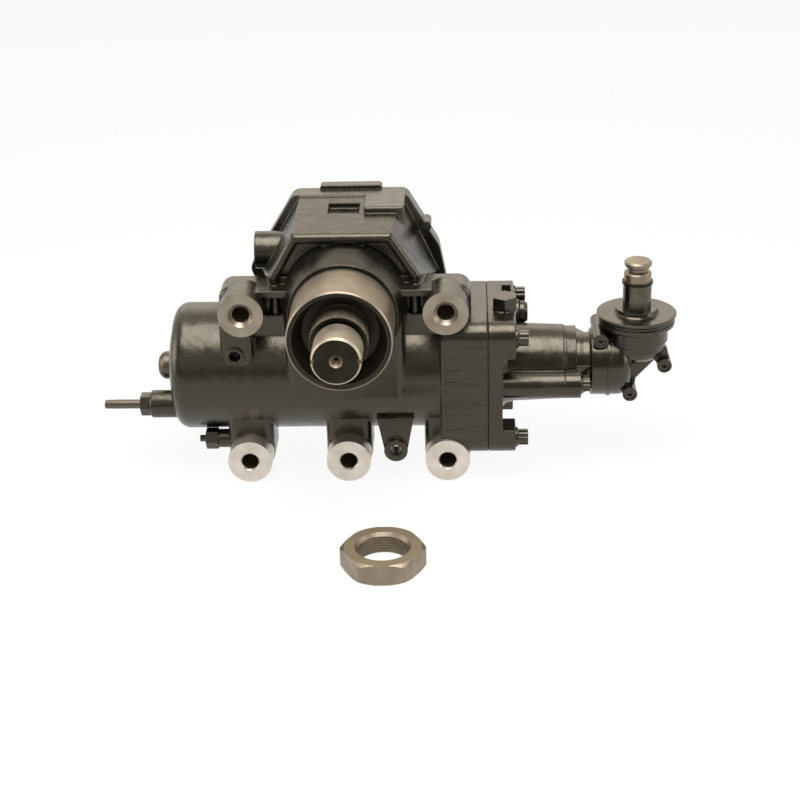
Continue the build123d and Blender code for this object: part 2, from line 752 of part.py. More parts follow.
def balls():
    """The recirculating balls that stand between the worm and the nut; every third one is shown."""
    train = []
    count = ball_turns * balls_per_turn
    for number in range(count):
        turn = number / balls_per_turn
        angle = 2 * pi * turn
        x = (turn - ball_turns / 2 + 0.5 / balls_per_turn) * screw_lead
        y = worm_depth + ball_circle_radius * cos(angle)
        z = worm_height + ball_circle_radius * sin(angle)
        train.append(Pos(x, y, z) * Sphere(ball_radius))
    return train


nodes["balls"] = balls()


def worm_shaft():
    """The ball screw, with its bearing journal and the bore that takes the torsion bar."""
    worm = turned([(worm_left, worm_core_radius - 2), (worm_left + 2, worm_core_radius),
                   (worm_journal_left - 2, worm_core_radius),
                   (worm_journal_left - 2, worm_journal_radius + 3),
                   (worm_journal_left, worm_journal_radius + 3), (worm_journal_left, worm_journal_radius),
                   (worm_journal_right, worm_journal_radius)], worm_line)
    return worm - rod(bar_radius + 1, bar_left, worm_journal_right, worm_line)


bar_radius = 5.0
bar_left = 20.0
bar_grip = 12.0
bar_right = sleeve_right + 4
nodes["worm_shaft"] = worm_shaft()
nodes["torsion_bar"] = turned([(bar_left, bar_radius + 1), (bar_left + bar_grip, bar_radius + 1),
                               (bar_left + bar_grip + 3, bar_radius - 1),
                               (bar_right - bar_grip - 3, bar_radius - 1),
                               (bar_right - bar_grip, bar_radius + 1), (bar_right, bar_radius + 1)],
                              worm_line)


def valve_sleeve():
    """The outer half of the rotary valve, with three distribution grooves."""
    outer = valve_bore_radius - running_gap
    sleeve = ring(rotor_radius, outer, worm_journal_right, sleeve_right, worm_line)
    for number in range(3):
        groove = worm_journal_right + 9 + 11 * number
        sleeve -= ring(outer - 3, outer + 1, groove, groove + 5, worm_line)
    return sleeve


rotor_radius = 17.0
nodes["valve_sleeve"] = valve_sleeve()


def valve_rotor():
    """The inner half of the rotary valve and the stub shaft that the right angle drive turns."""
    rotor = turned([(worm_journal_right, rotor_radius), (sleeve_right, rotor_radius),
                    (sleeve_right, stub_radius), (gear_plane - 14, stub_radius),
                    (gear_plane - 14, stub_radius - 3), (gear_plane + 2, stub_radius - 3)], worm_line)
    for number in range(6):
        groove = Rot(0, 0, 60 * number) * (Pos(rotor_radius, 0) * Rectangle(3, 5))
        rotor -= prism(groove, worm_journal_right + 6, sleeve_right - 6, worm_line)
    return rotor - rod(bar_radius + 1, worm_journal_right, bar_right, worm_line)


nodes["valve_rotor"] = valve_rotor()
nodes["worm_bearing"] = ring(worm_journal_radius + running_gap, worm_bearing_radius,
                             worm_journal_left + 1, worm_journal_right - 1, worm_line)
nodes["worm_bearing_ring"] = ring(worm_journal_radius + 4, worm_bearing_radius,
                                  register_left, worm_journal_left + 1, worm_line)
nodes["stub_bearing"] = ring(stub_radius + running_gap, stub_bearing_radius,
                             stub_bearing_left, stub_bearing_right, worm_line)
nodes["valve_seal"] = ring(stub_radius + lip_gap, stub_bearing_radius,
                           stub_bearing_right, tube_end - 1, worm_line)


def valve_cover():
    """The valve housing: a square flange with thick pads, a tube towards the drive and two bolt columns."""
    outline = RectangleRounded(2 * block_half_width, 2 * block_half_height, block_corner)
    cover_line = x_line(worm_depth, block_height)
    body = prism(outline, block_right, cover_plate_end, cover_line)
    body = fillet(body.edges().group_by(Axis.X)[0], joint_rounding)
    upper = Rectangle(2 * block_half_width, top_pad_height)
    upper = Pos(0, block_half_height - top_pad_height / 2) * upper
    body += prism(outline & upper, cover_plate_end - 1, cover_end, cover_line)
    for side in (-1, 1):
        corner_y = side * (block_half_width - corner_pad_width / 2)
        corner_z = corner_pad_width / 2 - block_half_height
        corner = Pos(corner_y, corner_z) * Rectangle(corner_pad_width, corner_pad_width)
        body += prism(outline & corner, cover_plate_end - 1, cover_end, cover_line)
    body = fillet(body.edges().group_by(Axis.X)[-1], joint_rounding)
    body += rod(bore_radius - running_gap, register_left, block_right + joint_rounding, worm_line)
    body += turned([(cover_plate_end - 1, tube_radius + 8), (cover_plate_end + 5, tube_radius + 2),
                    (cover_end, tube_radius), (tube_end - 3, tube_end_radius), (tube_end, tube_end_radius)],
                   worm_line)
    for side in (-1, 1):
        column_line = x_line(worm_depth + side * column_offset, worm_height + side * column_drop)
        body += rod(column_radius, cover_plate_end - 1, tube_end, column_line)
        link = Pos(side * (column_offset - 8), side * column_drop) * Rectangle(24, 2 * column_radius - 6)
        body += prism(link, cover_plate_end - 1, tube_end, worm_line)
    for side in (-1, 1):
        column_line = x_line(worm_depth + side * column_offset, worm_height + side * column_drop)
        body -= rod(column_bolt_radius, tube_end - 30, tube_end, column_line)
    body += rod(hex_plug_radius, block_top - 4, block_top + 1, z_line(hex_plug_x, hex_plug_y))
    body += rod(port_plug_radius + 1.5, cover_end - 1, cover_end + port_face_height,
                x_line(port_plug_y, port_plug_z))
    body -= rod(worm_bearing_radius, register_left, worm_journal_right, worm_line)
    body -= rod(valve_bore_radius, worm_journal_right, sleeve_right + 6, worm_line)
    body -= rod(stub_radius + 3, sleeve_right + 6, stub_bearing_left, worm_line)
    body -= rod(stub_bearing_radius, stub_bearing_left, tube_end, worm_line)
    for y, z in valve_bolt_places:
        body -= rod(valve_bolt_radius, block_right, cover_end, x_line(y, z))
    body -= rod(hex_plug_thread, block_top - 12, block_top + 1, z_line(hex_plug_x, hex_plug_y))
    body -= rod(port_plug_thread, cover_end - 12, cover_end + port_face_height,
                x_line(port_plug_y, port_plug_z))
    body -= rod(small_plug_thread, block_top - 10, block_top, z_line(small_plug_x, small_plug_y))
    return body


top_pad_height = 36.0
corner_pad_width = 30.0
column_bolt_radius = 5.0
hex_plug_x = 166.0
hex_plug_y = worm_depth - 21
hex_plug_radius = 13.0
hex_plug_thread = 9.0
hex_plug_flats = 24.0
hex_plug_height = 13.5
port_plug_y = worm_depth + 37
port_plug_z = -42.0
port_plug_radius = 12.5
port_plug_thread = 8.0
port_face_height = 6.0
small_plug_x = 169.0
small_plug_y = worm_depth + 35
small_plug_thread = 4.0
nodes["valve_cover"] = valve_cover()
nodes["valve_cover_bolts"] = [
    lobed_bolt(valve_bolt_radius, valve_bolt_head, 13, cover_end - block_left - 10, cover_end, x_line(y, z))
    for y, z in valve_bolt_places
]


def top_plug():
    """The large hexagon plug on top of the valve housing."""
    plug_line = z_line(hex_plug_x, hex_plug_y)
    plug = rod(hex_plug_thread, block_top - 11, block_top + 1, plug_line)
    head = Rot(0, 0, 30) * hexagon(hex_plug_flats)
    return plug + prism(head, block_top + 1, block_top + 1 + hex_plug_height, plug_line)


nodes["relief_valve_plug"] = top_plug()


def port_plug():
    """The plug in the hydraulic port on the valve housing's right face."""
    plug_line = x_line(port_plug_y, port_plug_z)
    seat = cover_end + port_face_height
    plug = rod(port_plug_thread, cover_end - 11, seat, plug_line)
    plug += turned([(seat, port_plug_radius - 1), (seat + 1, port_plug_radius), (seat + 5, port_plug_radius),
                    (seat + 9, port_plug_radius - 3)], plug_line)
    return plug - prism(hexagon(10), seat + 4, seat + 9, plug_line)


nodes["port_plug"] = port_plug()


def small_plug():
    """The small square headed plug behind the hexagon plug."""
    plug_line = z_line(small_plug_x, small_plug_y)
    plug = rod(small_plug_thread, block_top - 9, block_top, plug_line)
    return plug + prism(RectangleRounded(10, 10, 1), block_top, block_top + 6, plug_line)


nodes["small_plug"] = small_plug()


def bevel_housing():
    """The right angle drive's cast body: a grooved neck, a barrel, a cup for the pinion and three ears."""
    body = turned([(tube_end, tube_end_radius - 1), (tube_end + 2, tube_end_radius - 1),
                   (tube_end + 2, tube_end_radius - 2), (drive_flange_end, tube_end_radius - 3),
                   (drive_flange_end, neck_radius), (neck_groove_left, neck_radius),
                   (neck_groove_left, neck_radius - 1.5), (neck_groove_left + 2, neck_radius - 1.5),
                   (neck_groove_left + 2, neck_radius), (neck_end, neck_radius),
                   (neck_end + 2, barrel_radius), (neck_end + 5, barrel_radius)], worm_line)
    body += barrel(barrel_radius, neck_end + 4, drive_end, barrel_rounding, worm_line)
    body += ring(stub_bearing_radius, barrel_radius + barrel_rib_height, barrel_rib_left,
                 barrel_rib_left + barrel_rib_width, worm_line)
    cup_outside = pinion_bore_radius + cup_wall
    body += turned([(worm_height + 4, 18), (pinion_plane - 16, 24), (pinion_plane - 11, 29),
                    (pinion_plane - 5, cup_outside - 0.5), (pinion_plane + 1.5, cup_outside),
                    (pinion_plane + 3, cup_radius), (vertical_barrel_top, cup_radius)], input_line)
    for side in (-1, 1):
        column_line = x_line(worm_depth + side * column_offset, worm_height + side * column_drop)
        body += rod(column_radius, tube_end, column_end, column_line)
        link = Pos(side * (column_offset - 9), side * column_drop) * Rectangle(22, 2 * column_radius - 6)
        body += prism(link, tube_end, drive_flange_end, worm_line)
        gusset = Polygon((drive_flange_end - 1, 0), (gusset_right, 0), (gusset_right - 6, side * 8),
                         (drive_flange_end - 1, side * 26), align=None)
        for level in (-1, 1):
            height = worm_height + side * column_drop + level * gusset_height - gusset_thickness / 2
            plate = Plane(origin=(0, worm_depth + side * (neck_radius - 6), height)) * gusset
            body += extrude(plate, gusset_thickness, dir=(0, 0, 1))
    for x, y, z, length in ear_places:
        body += rod(ear_radius, y, y + length, y_line(x, z))
    body += slab(Polygon(*foot_outline, align=None), worm_depth - 15, worm_depth + 9)
    body += slab(Polygon(*arm_outline, align=None), worm_depth - 11, worm_depth + 19)
    body -= turned([(drive_flange_end, stub_bearing_radius), (rear_bearing_left, rear_bearing_radius),
                    (rear_bearing_right, rear_bearing_radius), (rear_bearing_right + 2, drive_bore_radius),
                    (gear_plane + 1, drive_bore_radius), (gear_plane + bevel_face + 1, 20),
                    (gear_plane + bevel_face + 3, 17)], worm_line)
    body -= rod(stub_bearing_radius, tube_end, drive_flange_end, worm_line)
    body -= turned([(worm_height + 11, 16), (pinion_plane - 11, 20), (pinion_plane - 1, pinion_bore_radius),
                    (vertical_barrel_top, pinion_bore_radius)], input_line)
    for side in (-1, 1):
        column_line = x_line(worm_depth + side * column_offset, worm_height + side * column_drop)
        body -= rod(column_bolt_radius, tube_end, column_end, column_line)
    for x, y, z, length in ear_places:
        body -= rod(ear_plug_radius, y, y + ear_hole_depth, y_line(x, z))
    return body


# Each ear's place in X, Y and Z, and its length
ear_places = [(267.0, worm_depth - 28, -50.0, 58.0), (299.0, worm_depth - 31, -110.5, 44.0),
              (336.0, worm_depth - 17, -84.0, 44.0)]
column_end = drive_flange_end + 3
gusset_right = drive_flange_end + 18
column_bolt_head = 7.0
foot_outline = [(292, -76), (328, -74), (306, -98), (304, -112), (294, -112)]
arm_outline = [(320, -72), (338, -66), (343, -84), (329, -84)]
gusset_height = 11.5
gusset_thickness = 3.5
ear_radius = 7.8
ear_plug_radius = 5.5
ear_hole_depth = 8.0
neck_radius = 31.0
neck_groove_left = drive_flange_end + 5
barrel_rounding = 14.0
barrel_rib_left = 274.5
barrel_rib_width = 3.5
barrel_rib_height = 1.5
nodes["bevel_housing"] = bevel_housing()
nodes["bevel_flange_bolts"] = [
    lobed_bolt(column_bolt_radius, column_bolt_head, 10, column_end - tube_end + 28, column_end,
               x_line(worm_depth + side * column_offset, worm_height + side * column_drop))
    for side in (-1, 1)
]


def ear_plug(x, y, z):
    """A plug sunk in the tapped hole of one of the drive body's ears."""
    plug_line = Plane(origin=(x, y, z), x_dir=(1, 0, 0), z_dir=(0, -1, 0))
    plug = rod(ear_plug_radius, 0.5 - ear_hole_depth, -1, plug_line)
    return plug - prism(hexagon(5), -4, -1, plug_line)


nodes["bevel_ear_plugs"] = [ear_plug(x, y, z) for x, y, z, length in ear_places]


def bevel_outline(scale):
    """The teeth of a bevel gear where they cross a plane square to its axis."""
    cone = bevel_pitch_radius * sqrt(2)
    angle = radians(20)
    base = cone * cos(angle)
    half_at_pitch = pi * bevel_module / 4 / cone - bevel_backlash / cone + involute(angle)
    levels = [-1.25 * bevel_module, -0.5 * bevel_module, 0.25 * bevel_module, bevel_module]
    flank = []
    for level in levels:
        radius = cone + level
        half = radius * (half_at_pitch - involute(acos(min(1.0, base / radius))))
        cone_angle = pi / 4 + atan(level / cone)
        reach = bevel_pitch_radius * tan(cone_angle)
        flank.append((reach * scale, half / (sqrt(cone ** 2 + level ** 2) * sin(cone_angle))))
    points = []
    for number in range(bevel_teeth):
        centre = 2 * pi * number / bevel_teeth
        points += [(r * cos(centre - half), r * sin(centre - half)) for r, half in flank]
        points += [(r * cos(centre + half), r * sin(centre + half)) for r, half in reversed(flank)]
    return Polygon(*points, align=None)


def bevel_gear():
    """A straight bevel gear about Z, its cone's apex at the origin and its teeth below it."""
    small_scale = (bevel_pitch_radius - bevel_face) / bevel_pitch_radius
    large = Pos(0, 0, -bevel_pitch_radius) * bevel_outline(1.0)
    small = Pos(0, 0, -(bevel_pitch_radius - bevel_face)) * bevel_outline(small_scale)
    return loft([large.face(), small.face()], ruled=True)


def drive_gear():
    """The bevel gear on the stub shaft."""
    gear = Plane(origin=apex, x_dir=(0, 0, 1), z_dir=(1, 0, 0)) * bevel_gear()
    gear += rod(bevel_hub_radius, gear_plane - 8, gear_plane, worm_line)
    return gear - rod(stub_radius - 3, gear_plane - 8, gear_plane + 2, worm_line)


nodes["driven_bevel_gear"] = drive_gear()


def input_shaft():
    """The upright input shaft, in one piece with its bevel pinion."""
    half_tooth = 180 / bevel_teeth
    pinion = Plane(origin=apex, x_dir=(-1, 0, 0), z_dir=(0, 0, -1)) * (Rot(0, 0, half_tooth) * bevel_gear())
    shaft = turned([(pinion_plane, bevel_hub_radius), (pinion_back, bevel_hub_radius),
                    (pinion_back, input_radius), (5, input_radius), (5, input_tip_radius - 1),
                    (7.5, input_tip_radius - 1), (7.5, input_tip_radius), (16.5, input_tip_radius),
                    (18, input_tip_radius - 1.2),
                    (19, input_tip_radius - 4.3), (22, input_tip_radius - 4.3),
                    (24, input_tip_radius - 0.8), (26, input_tip_radius), (input_top - 1.5, input_tip_radius),
                    (input_top, input_tip_radius - 1.5)], input_line)
    return pinion + shaft


nodes["input_shaft"] = input_shaft()
nodes["input_snap_ring"] = ring(input_tip_radius - 1, input_radius + 1.3, 5, 7.5, input_line)
nodes["input_bearing"] = ring(input_radius + running_gap, pinion_bore_radius,
                              pinion_back + face_gap, input_bearing_top, input_line)


def top_cover():
    """The round cover over the upright bore, with a groove round its rim and a seat for the seal."""
    rim = dust_cover_radius - 1.5
    body = turned([(vertical_barrel_top, rim - 2), (vertical_barrel_top + 2, rim), (top_cover_top - 3.5, rim),
                   (top_cover_top - 3.5, rim - 2), (top_cover_top - 2, rim - 2), (top_cover_top - 2, rim),
                   (top_cover_top, rim)], input_line)
    body += rod(pinion_bore_radius, input_bearing_top, vertical_barrel_top, input_line)
    body -= rod(input_radius + input_seal_section, vertical_barrel_top, top_cover_top, input_line)
    return body - rod(input_radius + 3, input_bearing_top, vertical_barrel_top, input_line)


input_seal_section = 7.0
nodes["bevel_top_cover"] = top_cover()
nodes["input_seal"] = ring(input_radius + lip_gap, input_radius + input_seal_section,
                           vertical_barrel_top, top_cover_top, input_line)
nodes["stub_rear_bearing"] = ring(stub_radius + running_gap, rear_bearing_radius,
                                  rear_bearing_left, rear_bearing_right, worm_line)


def dust_cover():
    """The round dust cover that turns with the input shaft."""
    return (turned([(dust_cover_top - 4, dust_cover_radius - 1.5), (dust_cover_top - 2, dust_cover_radius),
                    (dust_cover_top - 0.8, dust_cover_radius), (dust_cover_top, dust_cover_radius - 2),
                    (dust_cover_top, 24), (dust_cover_top + 1.5, 22.5), (dust_cover_top + 5, 21.5),
                    (dust_cover_top + 5, input_radius)], input_line)
            - rod(input_radius, dust_cover_top - 4, dust_cover_top + 5, input_line))


nodes["dust_cover"] = dust_cover()


def limiter_screw():
    """The travel limiter: a threaded pin through the closed end, its outer end flattened."""
    line = x_line(limiter_y, limiter_z)
    pin = turned([(limiter_end, limiter_radius - 0.5), (limiter_end + 0.5, limiter_radius),
                  (limiter_tip, limiter_radius)], line)
    for side in (-1, 1):
        flat = Pos(0, side * (limiter_radius + 2.8)) * Rectangle(2 * limiter_radius, 8)
        pin -= prism(flat, limiter_end, limiter_end + 10, line)
    return pin


nodes["limiter_screw"] = limiter_screw()
nodes["limiter_locknut"] = prism(hexagon(22) - Circle(limiter_radius), limiter_nut_end, limiter_boss_end,
                                 x_line(limiter_y, limiter_z))


def end_plug():
    """The domed plug in the middle of the closed end."""
    wall = cylinder_left - dome_rise
    plug = turned([(wall - 13, 6), (wall - 12, 10), (wall - 9, 13.5), (wall - 6, end_plug_radius),
                   (wall, end_plug_radius)], worm_line)
    return plug + rod(end_plug_radius - 2, wall - 1, bore_left, worm_line)


nodes["end_plug"] = end_plug()


def bleed_screw():
    """The bleed screw: a hexagon with a short nipple."""
    line = x_line(bleed_y, bleed_z)
    screw = rod(bleed_thread_radius, bleed_face, bleed_face + 11, line)
    screw += prism(hexagon(20), bleed_face - 13, bleed_face, line)
    return screw + rod(3.6, bleed_face - 20, bleed_face - 13, line)


nodes["bleed_screw"] = bleed_screw()


def drop_arm_nut():
    """The large thin nut that holds the drop arm, lying loose in front of the gear."""
    line = z_line(nut_x, nut_y)
    body = prism(hexagon(nut_across_flats), floor_height, floor_height + nut_thickness, line)
    corner = nut_across_flats / 2 / cos(radians(30)) - 1.2
    body &= turned([(floor_height, corner - 4), (floor_height + 2.5, corner),
                    (floor_height + nut_thickness - 2.5, corner), (floor_height + nut_thickness, corner - 4)],
                   line)
    mouth = shaft_thread_radius + 2.5
    wall = shaft_thread_radius - 0.8
    return body - turned([(floor_height, wall + 1.5), (floor_height + 1.5, wall),
                          (floor_height + nut_thickness - mouth + wall, wall),
                          (floor_height + nut_thickness, mouth)], line)


nodes["drop_arm_nut"] = drop_arm_nut()

os.makedirs("parts", exist_ok=True)
for name, shape in nodes.items():
    piece = Compound(children=list(shape)) if isinstance(shape, list) else shape
    piece.label = name
    export_step(piece, f"parts/{name}.step")
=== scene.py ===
from math import cos, pi, radians, sin

import bpy
from mathutils import Matrix, Vector


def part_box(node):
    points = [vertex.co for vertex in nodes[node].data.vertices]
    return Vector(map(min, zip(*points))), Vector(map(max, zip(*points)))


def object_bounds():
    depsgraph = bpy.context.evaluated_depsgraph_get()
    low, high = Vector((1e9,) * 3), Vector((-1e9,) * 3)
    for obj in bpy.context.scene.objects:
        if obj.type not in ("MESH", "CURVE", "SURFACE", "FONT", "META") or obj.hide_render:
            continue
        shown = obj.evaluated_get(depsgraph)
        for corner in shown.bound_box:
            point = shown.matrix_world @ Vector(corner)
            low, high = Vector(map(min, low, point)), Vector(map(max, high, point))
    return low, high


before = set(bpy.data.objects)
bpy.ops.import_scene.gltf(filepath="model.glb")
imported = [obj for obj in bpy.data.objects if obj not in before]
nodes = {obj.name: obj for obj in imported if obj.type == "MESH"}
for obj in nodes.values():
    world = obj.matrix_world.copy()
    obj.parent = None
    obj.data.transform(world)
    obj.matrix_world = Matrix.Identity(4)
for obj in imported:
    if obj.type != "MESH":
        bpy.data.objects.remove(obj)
cad_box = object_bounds()

# Camera: a long lens a little above the gear and almost square to its mounting side.
# Its place and turn are those that line the gear up with the photograph.
camera_height_angle = radians(25.39)
camera_side_angle = radians(2.47)
camera_roll = radians(-1.59)
camera_place = Vector((0.1271, -1.6453, 0.6881))
camera_lens_mm = 78.75
camera_sensor_mm = 36.0
camera_reach = 50.0

back = Vector((sin(camera_side_angle) * cos(camera_height_angle),
               -cos(camera_side_angle) * cos(camera_height_angle),
               sin(camera_height_angle)))
level = Vector((cos(camera_side_angle), sin(camera_side_angle), 0))
up = back.cross(level)
right_turned = cos(camera_roll) * level + sin(camera_roll) * up
up_turned = cos(camera_roll) * up - sin(camera_roll) * level
camera_data = bpy.data.cameras.new("camera")
camera_data.lens = camera_lens_mm
camera_data.sensor_width = camera_sensor_mm
camera_data.clip_end = camera_reach
camera = bpy.data.objects.new("camera", camera_data)
turn = Matrix((right_turned, up_turned, back)).transposed().to_4x4()
camera.matrix_world = Matrix.Translation(camera_place) @ turn
bpy.context.collection.objects.link(camera)
bpy.context.scene.camera = camera
bpy.context.scene.view_settings.view_transform = "Standard"


# Floor and room: a white paper sweep, a hair under the lowest bosses, in a dim room. Camera and gloss
# see the sweep and the wall behind it white, and gloss sees the room in front of it dim.
floor_gap = 0.0001
floor_height = cad_box[0][2] - floor_gap
floor_half = 9.0
floor_shade_share = 0.08
paper_colour = "#eeeeee"
white_colour = "#ffffff"
warm_white_colour = "#fff9ee"
room_level = 0.28
front_room_level = 0.2
wall_level = 1.0
wall_fade = 0.25


def linear(hex_colour):
    """An sRGB hex colour as linear red, green, blue and alpha."""
    parts = [int(hex_colour[i:i + 2], 16) / 255 for i in (1, 3, 5)]
    return [p / 12.92 if p <= 0.04045 else ((p + 0.055) / 1.055) ** 2.4 for p in parts] + [1.0]


def set_inputs(tree, node, inputs):
    """Gives each named input of a node a value, or a link where a socket is given."""
    for name, value in inputs.items():
        if isinstance(value, bpy.types.NodeSocket):
            tree.links.new(value, node.inputs[name])
        else:
            node.inputs[name].default_value = value


def add_node(tree, kind, inputs=None, **settings):
    """A new shader node with its settings, values and links."""
    node = tree.nodes.new(kind)
    for name, value in settings.items():
        setattr(node, name, value)
    set_inputs(tree, node, inputs or {})
    return node


def background_ray(tree):
    """One where the ray is a camera, gloss or glass ray, so that all three see the white background."""
    path = add_node(tree, "ShaderNodeLightPath")
    either = add_node(tree, "ShaderNodeMath",
                      {0: path.outputs["Is Camera Ray"], 1: path.outputs["Is Glossy Ray"]},
                      operation="MAXIMUM")
    return add_node(tree, "ShaderNodeMath", {0: either.outputs[0], 1: path.outputs["Is Transmission Ray"]},
                    operation="MAXIMUM").outputs[0]


floor_mesh = bpy.data.meshes.new("floor")
floor_mesh.from_pydata([(x * floor_half, y * floor_half, floor_height)
                        for x, y in ((-1, -1), (1, -1), (1, 1), (-1, 1))], [], [(0, 1, 2, 3)])
floor = bpy.data.objects.new("floor", floor_mesh)
bpy.context.collection.objects.link(floor)
white_sweep = bpy.data.materials.new("white paper sweep")
white_sweep.use_nodes = True
tree = white_sweep.node_tree
tree.nodes.clear()
lit = add_node(tree, "ShaderNodeBsdfDiffuse", {"Color": linear(paper_colour)})
glow = add_node(tree, "ShaderNodeEmission", {"Color": linear(white_colour), "Strength": wall_level})
share = add_node(tree, "ShaderNodeMath", {0: background_ray(tree), 1: 1 - floor_shade_share},
                 operation="MULTIPLY")
mixed = add_node(tree, "ShaderNodeMixShader",
                 {0: share.outputs[0], 1: lit.outputs[0], 2: glow.outputs[0]})
add_node(tree, "ShaderNodeOutputMaterial", {"Surface": mixed.outputs[0]})
floor_mesh.materials.append(white_sweep)

world = bpy.data.worlds.new("studio")
bpy.context.scene.world = world
world.use_nodes = True
tree = world.node_tree
tree.nodes.clear()
direction = add_node(tree, "ShaderNodeSeparateXYZ",
                     {"Vector": add_node(tree, "ShaderNodeTexCoord").outputs["Generated"]})
wall = add_node(tree, "ShaderNodeMapRange",
                {"Value": direction.outputs["Y"], "From Min": -wall_fade, "From Max": wall_fade,
                 "To Min": front_room_level, "To Max": wall_level},
                interpolation_type="SMOOTHSTEP")
camera_ray = add_node(tree, "ShaderNodeLightPath").outputs["Is Camera Ray"]
white = add_node(tree, "ShaderNodeMath", {0: wall.outputs[0], 1: camera_ray}, operation="MAXIMUM")
seen = add_node(tree, "ShaderNodeMix", {0: background_ray(tree), "A": room_level, "B": white.outputs[0]},
                data_type="FLOAT")
tone = add_node(tree, "ShaderNodeMix",
                {0: camera_ray, "A": linear(warm_white_colour), "B": linear(white_colour)},
                data_type="RGBA")
room = add_node(tree, "ShaderNodeBackground", {"Color": tone.outputs["Result"], "Strength": seen.outputs[0]})
add_node(tree, "ShaderNodeOutputWorld", {"Surface": room.outputs[0]})


# Lamps: a square softbox overhead makes the long highlight on the cylinder, and a warm one stands
# behind. One at each side lights the ends of the gear, and a weak fill stands in front.
def softbox(name, place, aim, width, depth, watts, colour=white_colour):
    """A rectangular softbox at place, facing aim."""
    lamp = bpy.data.lights.new(name, "AREA")
    lamp.color = linear(colour)[:3]
    lamp.shape = "RECTANGLE"
    lamp.size = width
    lamp.size_y = depth
    lamp.energy = watts
    made = bpy.data.objects.new(name, lamp)
    made.location = place
    made.rotation_euler = (Vector(aim) - Vector(place)).to_track_quat("-Z", "Y").to_euler()
    bpy.context.collection.objects.link(made)


softbox("overhead softbox", (0.05, -0.25, 1.3), aim=(0.05, 0.05, 0.0), width=1.1, depth=1.1, watts=27)
softbox("back softbox", (0.05, 1.7, 0.95), aim=(0.05, 0.0, 0.0), width=2.4, depth=1.0, watts=7,
        colour="#fff2e0")
softbox("front fill", (-0.6, -1.8, 1.1), aim=(0.05, 0.0, -0.05), width=1.6, depth=1.2, watts=3)
softbox("left softbox", (-1.7, -0.15, 0.45), aim=(0.0, 0.0, -0.05), width=1.0, depth=1.0, watts=10)
softbox("right softbox", (1.8, -0.3, 0.5), aim=(0.2, 0.0, -0.05), width=0.9, depth=1.0, watts=10)


# Castings: housing, side cover, valve housing, drive housing and its round top. Sand cast iron under
# fresh gloss black paint, which follows the sand's grain and the skin's waves. The sand's grains are
# about 0.4 mm wide, and are drawn as 1.4 mm, since a pixel is 1 mm and finer ones wouldn't show.
casting_grain_mm = 1.4
casting_wave_mm = 11.0
paint_colour = "#0f0f0b"
paint_dusty_colour = "#181711"
paint_sheen_colour = "#fdf0d8"
paint_gloss_level = 0.8
paint_smoother = 0.05
paint_rougher = 0.07
noise_low = 0.3
noise_high = 0.7
valve_block_left = 0.1
valve_block_top = -0.03
block_front_facing = 0.95


def new_material(name):
    """A new material, its node tree and its shader."""
    material = bpy.data.materials.new(name)
    material.use_nodes = True
    return material, material.node_tree, material.node_tree.nodes["Principled BSDF"]


def casting_paint(name, roughness, wave_depth_mm, grain_depth_mm, edge_mm, ripple=1.0):
    """Gloss black paint over cast or forged metal. The eye sees soft, broken highlights.

    The paint rounds each edge by edge_mm, and ripple stretches the skin's waves along X.
    """
    material, tree, shader = new_material(name)
    place = add_node(tree, "ShaderNodeMapping",
                     {"Vector": add_node(tree, "ShaderNodeTexCoord").outputs["Object"],
                      "Scale": (1 / ripple, 1, 1)}).outputs[0]
    grain = add_node(tree, "ShaderNodeTexNoise", {"Vector": place, "Scale": 1000 / casting_grain_mm,
                                                  "Detail": 3.0, "Roughness": 0.6})
    wave = add_node(tree, "ShaderNodeTexNoise", {"Vector": place, "Scale": 1000 / casting_wave_mm,
                                                 "Detail": 2.0, "Roughness": 0.5})
    edge = add_node(tree, "ShaderNodeBevel", {"Radius": edge_mm / 1000}, samples=6)
    low = add_node(tree, "ShaderNodeBump", {"Height": wave.outputs[0], "Strength": 1.0,
                                            "Distance": wave_depth_mm / 1000, "Normal": edge.outputs[0]})
    fine = add_node(tree, "ShaderNodeBump", {"Height": grain.outputs[0], "Strength": 1.0,
                                             "Distance": grain_depth_mm / 1000, "Normal": low.outputs[0]})
    tint = add_node(tree, "ShaderNodeMix", {0: wave.outputs[0], "A": linear(paint_colour),
                                            "B": linear(paint_dusty_colour)}, data_type="RGBA")
    gloss = add_node(tree, "ShaderNodeMapRange",
                     {"Value": wave.outputs[0], "From Min": noise_low, "From Max": noise_high,
                      "To Min": roughness - paint_smoother, "To Max": roughness + paint_rougher})
    set_inputs(tree, shader, {"Base Color": tint.outputs["Result"], "Roughness": gloss.outputs[0],
                              "Normal": fine.outputs[0], "Specular IOR Level": paint_gloss_level,
                              "Specular Tint": linear(paint_sheen_colour)})
    return material


def dress(material, *names):
    """Gives CAD nodes one material on all their faces."""
    for name in names:
        mesh = nodes[name].data
        mesh.materials.clear()
        mesh.materials.append(material)


def dress_faces(material, name, is_dressed):
    """Gives a CAD node's faces that a rule picks, by their centre and normal, a material of their own."""
    mesh = nodes[name].data
    mesh.materials.append(material)
    for face in mesh.polygons:
        if is_dressed(face.center, face.normal):
            face.material_index = len(mesh.materials) - 1


def on_block_front(centre, normal):
    """Whether a housing face is on the front of the square valve block, where the skin is rippled."""
    on_block = centre.x > valve_block_left and centre.z < valve_block_top
    return on_block and normal.y < -block_front_facing


